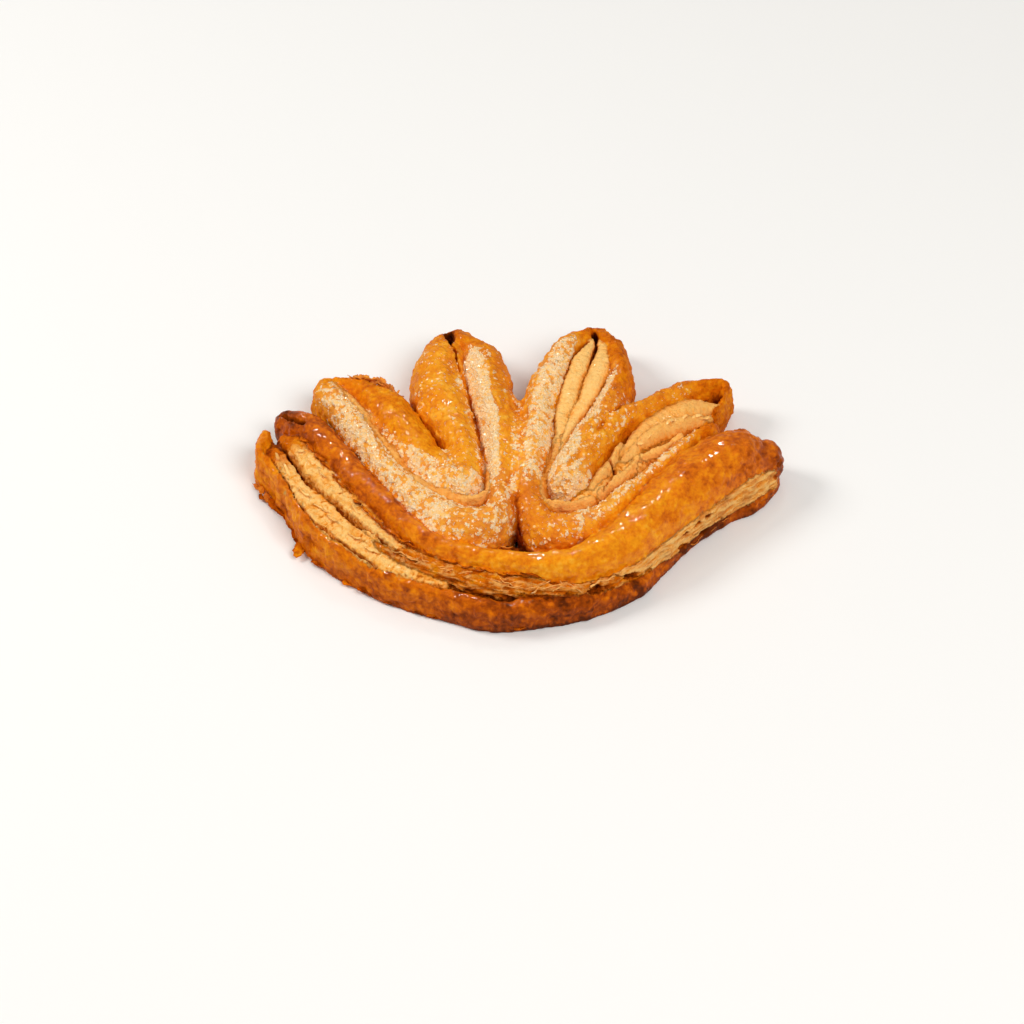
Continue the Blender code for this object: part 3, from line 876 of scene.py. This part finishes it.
def flakes_along(knots, count, seed, size, lift, brown, pale, lean=0.3):
    """Flakes strewn along a line of (x, y, z): size is (length, width), lift tips them upwards."""
    random = np.random.default_rng(seed)
    route = Route([(x, y, z, 1) for x, y, z in knots])
    for number in range(count):
        share = (number + random.uniform(0.1, 0.9)) / count
        i = int(share * (len(route.points) - 1))
        tx, ty = route.tangent[i]
        outward = np.array([ty, -tx, 0])
        place = np.array([*route.points[i], route.height[i]]) + outward * random.uniform(-0.4, 0.4)
        ahead = np.array([tx, ty, random.normal(0, 0.12)]) + outward * random.normal(0, lean)
        up = np.array([0, 0, 1.0]) * math.cos(lift) - outward * math.sin(lift)
        up += random.normal(0, 0.15, 3)
        grow = random.uniform(0.6, 1.3)
        yield (place, ahead, up, size[0] * grow, size[1] * random.uniform(0.7, 1.3),
               seed * 100 + number, brown + random.normal(0, 0.08), pale)


TORN_EDGE = [(-43.4, 30.8, 12.4), (-38.4, 31, 12.8), (-33.6, 28.2, 13.2), (-30, 24, 13.4)]
# Where flakes lie, and what else flakes_along asks for, in its order.
FLAKE_LINES = (
    ([(-67.6, 1, 1), (-61.2, -6.6, 1), (-55.8, -16.4, 1), (-52, -22.6, 1), (-43.3, -31, 1),
      (-34, -37.3, 1), (-23.7, -41.5, 1), (-13.3, -45.2, 1), (-3, -47.8, 1), (10, -45.2, 1),
      (25.5, -39.9, 1), (37.4, -30.8, 1)], 30, 5, (4.2, 2.2), 0.25, 0.62, 0.0),
    ([(40, -24.8, 2.4), (48, -18, 2.4), (57, -8.6, 2.4), (66.5, -1.6, 2.6)],
     12, 6, (4, 1.9), 0.2, 0.6, 0.2),
    ([(-54.5, -19.6, 2), (-56.2, -21.6, 1.3)], 2, 7, (4.4, 2.6), 0.3, 0.5, 0.0),
    ([(-67.3, 2.6, 1.6), (-64.6, -2.4, 1.2)], 3, 8, (3.4, 1.6), 0.15, 0.4, 0.1),
    ([(-2.4, -32.6, 15.6), (0.2, -32.8, 15.4)], 1, 16, (2.6, 2), 0.9, 0.4, 0.2),
    (TORN_EDGE, 12, 9, (3.4, 3), 1.15, 0.36, 0.3),
    (TORN_EDGE, 8, 17, (3, 2.2), -0.2, 0.4, 0.2, 0.9),
    ([(-30, -31, 11.4), (-18, -36, 11.2), (-6, -39.8, 10.9), (8, -41.5, 10.2), (22, -39.3, 9.3),
      (33, -31.8, 9)], 26, 10, (5.5, 1), 0.9, 0.4, 0.8),
    ([(-55, 8.5, 13.2), (-49.6, -0.6, 13.6), (-43.5, -9.6, 13.6), (-37.4, -18, 13.3),
      (-31.5, -25.2, 12.8), (-22, -31.6, 12.2), (-10, -36.8, 12), (6, -39.6, 12)],
     26, 11, (4.2, 1.3), 0.5, 0.62, 0.0, 0.12),
    ([(-62, 5, 11.6), (-56.4, -6.4, 11.9), (-51.6, -13, 12), (-46.8, -19, 11.8),
      (-41.5, -25, 11.4), (-35, -30.6, 11)], 7, 12, (3.6, 1.1), 0.3, 0.3, 1.0, 0.25),
    ([(-57.8, 8.6, 12.9), (-50.9, -2.8, 13.6), (-45, -10.8, 13.6), (-37.8, -20.5, 13)],
     5, 13, (3.4, 1.1), 0.3, 0.3, 1.0, 0.25),
    ([(38, -27.2, 6.4), (47, -18.4, 6.6), (56, -10.6, 6.8), (66.5, -1.8, 6.6)],
     16, 14, (5, 0.9), 1.2, 0.3, 0.9, 0.08),
    ([(33, 5.6, 13.6), (40, 11.8, 14.6), (46, 14.9, 14.4), (52, 16.6, 13)],
     9, 15, (4.4, 1.5), 0.2, 0.3, 1.0, 0.1),
)


def make_flakes():
    """Loose and torn edges of the layers, all in one mesh."""
    flakes = [flake for line in FLAKE_LINES for flake in flakes_along(*line)]
    points, faces, numbers = [], [], []
    start = 0
    for *shape, brown, pale in flakes:
        spots, sides, edge = flake_shape(*shape)
        spots[:, 2] = np.maximum(spots[:, 2], 0.05)
        points.append(spots)
        faces.append(sides + start)
        tone = brown + 0.18 * ramp(edge, 0.6, 1.1) + 0.15 * lattice_noise(spots, 2, 305)
        shade = pale * (1 - 0.5 * ramp(edge, 0.8, 1.2))
        numbers.append(np.column_stack([tone, shade]))
        start += len(spots)
    points, faces, numbers = np.vstack(points), np.vstack(faces), np.vstack(numbers)
    mesh = new_mesh("torn_flakes", points, faces)
    keep_number(mesh, "brown", np.clip(numbers[:, 0], 0, 1))
    keep_number(mesh, "pale", np.clip(numbers[:, 1], 0, 1))
    for name, value in (("gloss", 0.5), ("fibrous", 0.5), ("sugar", 0), ("crease_shade", 0), ("clumps", 0)):
        keep_number(mesh, name, np.full(len(points), value))
    for axis, name in enumerate(FIBRES):
        keep_number(mesh, name, points[:, axis] * 0.8)
    new_piece("torn_flakes", mesh, bpy.data.materials["glazed_crust"])


def sugar_material():
    shade = Shade("sugar_crystal")
    colour = shade.colours(shade.noise(1.2, 2),
                           [(0.3, (1.0, 0.66, 0.28)), (0.7, (1.0, 0.82, 0.55))])
    shade.set("Base Color", colour)
    shade.set("Roughness", 0.25)
    shade.set("Specular IOR Level", 0.45)
    return shade.material


def turns(random, count):
    """Random turns, as 3 x 3 matrices."""
    q = random.normal(0, 1, (count, 4))
    w, x, y, z = (q / np.linalg.norm(q, axis=1)[:, None]).T
    rows = [[1 - 2 * (y * y + z * z), 2 * (x * y - z * w), 2 * (x * z + y * w)],
            [2 * (x * y + z * w), 1 - 2 * (x * x + z * z), 2 * (y * z - x * w)],
            [2 * (x * z - y * w), 2 * (y * z + x * w), 1 - 2 * (x * x + y * y)]]
    return np.moveaxis(np.array(rows), 2, 0)


def make_sugar(points, normals, sugar, clumps):
    """Sugar crystals lying where the crust is sugared, as one mesh of small boxes."""
    random = np.random.default_rng(77)
    chance = sugar ** 1.3 * (0.1 + clumps) * ramp(normals[:, 2], -0.1, 0.4)
    count = 2_200
    picked = random.choice(len(points), count, replace=False, p=chance / chance.sum())
    box = np.array(list(np.ndindex(2, 2, 2))) - 0.5
    sides = np.array([(0, 1, 3, 2), (4, 6, 7, 5), (0, 4, 5, 1), (2, 3, 7, 6), (0, 2, 6, 4),
                      (1, 5, 7, 3)])
    size = random.uniform(*GRAIN, (count, 1)) * random.uniform(0.6, 1.0, (count, 3))
    corners = np.einsum("nij,nkj->nki", turns(random, count), box[None] * size[:, None])
    places = points[picked] + normals[picked] * 0.04
    corners += places[:, None]
    faces = (sides[None] + 8 * np.arange(count)[:, None, None]).reshape(-1, 4)
    mesh = new_mesh("sugar_grains", corners.reshape(-1, 3), faces)
    mesh.polygons.foreach_set("use_smooth", np.zeros(len(faces), bool))
    new_piece("sugar_grains", mesh, sugar_material())


def make_dough():
    grid = Grid((-73, -56, -2 * CELL), (73, 56, 21), CELL)
    field = sculpt(grid)
    points, quads = skin(field, grid)
    mesh = new_mesh("pastry_dough", points, quads)
    normals = vectors(mesh.vertex_normals, "vector")
    points = points + normals * relief(points, Survey(points, grid))[:, None]
    mesh.vertices.foreach_set("co", (points * MM).ravel())
    mesh.update()
    mesh = thinned(mesh, FACES_KEPT)
    mesh.name = "pastry_dough"
    points = vectors(mesh.vertices, "co") / MM
    looks = dress(points, Survey(points, grid), hollowness(points, field, grid))
    for name, values in looks.items():
        keep_number(mesh, name, values)
    piece = new_piece("pastry_dough", mesh, crust_material())
    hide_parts("pastry")
    return points, vectors(mesh.vertex_normals, "vector"), looks["sugar"], looks["clumps"]


# ---------------- stage

def make_stage():
    bpy.ops.mesh.primitive_plane_add(size=4)
    floor = bpy.context.object
    floor.name = "floor"
    paper = bpy.data.materials.new("floor_paper")
    paper.use_nodes = True
    shader = paper.node_tree.nodes["Principled BSDF"]
    shader.inputs["Base Color"].default_value = (0.9, 0.902, 0.888, 1)
    shader.inputs["Roughness"].default_value = 0.7
    floor.data.materials.append(paper)


def area_light(name, place, size, power, colour):
    """A round lamp, size metres wide, that faces the pastry."""
    light = bpy.data.lights.new(name, "AREA")
    light.shape = "DISK"
    light.size, light.energy, light.color = size, power, colour
    lamp = bpy.data.objects.new(name, light)
    bpy.context.collection.objects.link(lamp)
    lamp.location = place
    lamp.rotation_euler = (-Vector(place)).to_track_quat("-Z", "Y").to_euler()
    return lamp


def make_lights():
    world = bpy.data.worlds.new("studio")
    bpy.context.scene.world = world
    world.use_nodes = True
    sky = world.node_tree.nodes["Background"].inputs
    sky["Color"].default_value = (1.0, 0.97, 0.94, 1)
    sky["Strength"].default_value = 0.33
    # The large lamps light the dough without a glare, and the small ones only glint in the glaze.
    area_light("key", (-0.75, 0.15, 0.66), 0.36, 4.75, (1.0, 0.98, 0.95)).visible_glossy = False
    area_light("fill", (0.45, -0.45, 0.9), 0.7, 7.0, (1.0, 0.98, 0.96)).visible_glossy = False
    for name, place in (("spark_left", (-0.5, 0.55, 0.67)), ("spark_top", (0.05, 0.6, 0.8))):
        area_light(name, place, 0.12, 6.0, (1.0, 0.985, 0.95)).visible_diffuse = False


def make_camera():
    """A long lens that looks down on the fan from the front."""
    elevation, view_angle, distance = math.radians(46.8), math.radians(11.3), 1.365
    target = Vector((-1.7, -9.15, 0)) * MM
    camera = bpy.data.cameras.new("camera")
    camera.sensor_width = 36
    camera.lens = camera.sensor_width / 2 / math.tan(view_angle / 2)
    camera.clip_start, camera.clip_end = 0.01, 20
    holder = bpy.data.objects.new("camera", camera)
    bpy.context.collection.objects.link(holder)
    holder.location = target + Vector((0, -math.cos(elevation), math.sin(elevation))) * distance
    holder.rotation_euler = (math.radians(90) - elevation, 0, 0)
    bpy.context.scene.camera = holder


skin_points, skin_normals, sugar, clumps = make_dough()
make_flakes()
make_sugar(skin_points, skin_normals, sugar, clumps)
make_stage()
make_lights()
make_camera()
bpy.context.scene.view_settings.view_transform = "Standard"
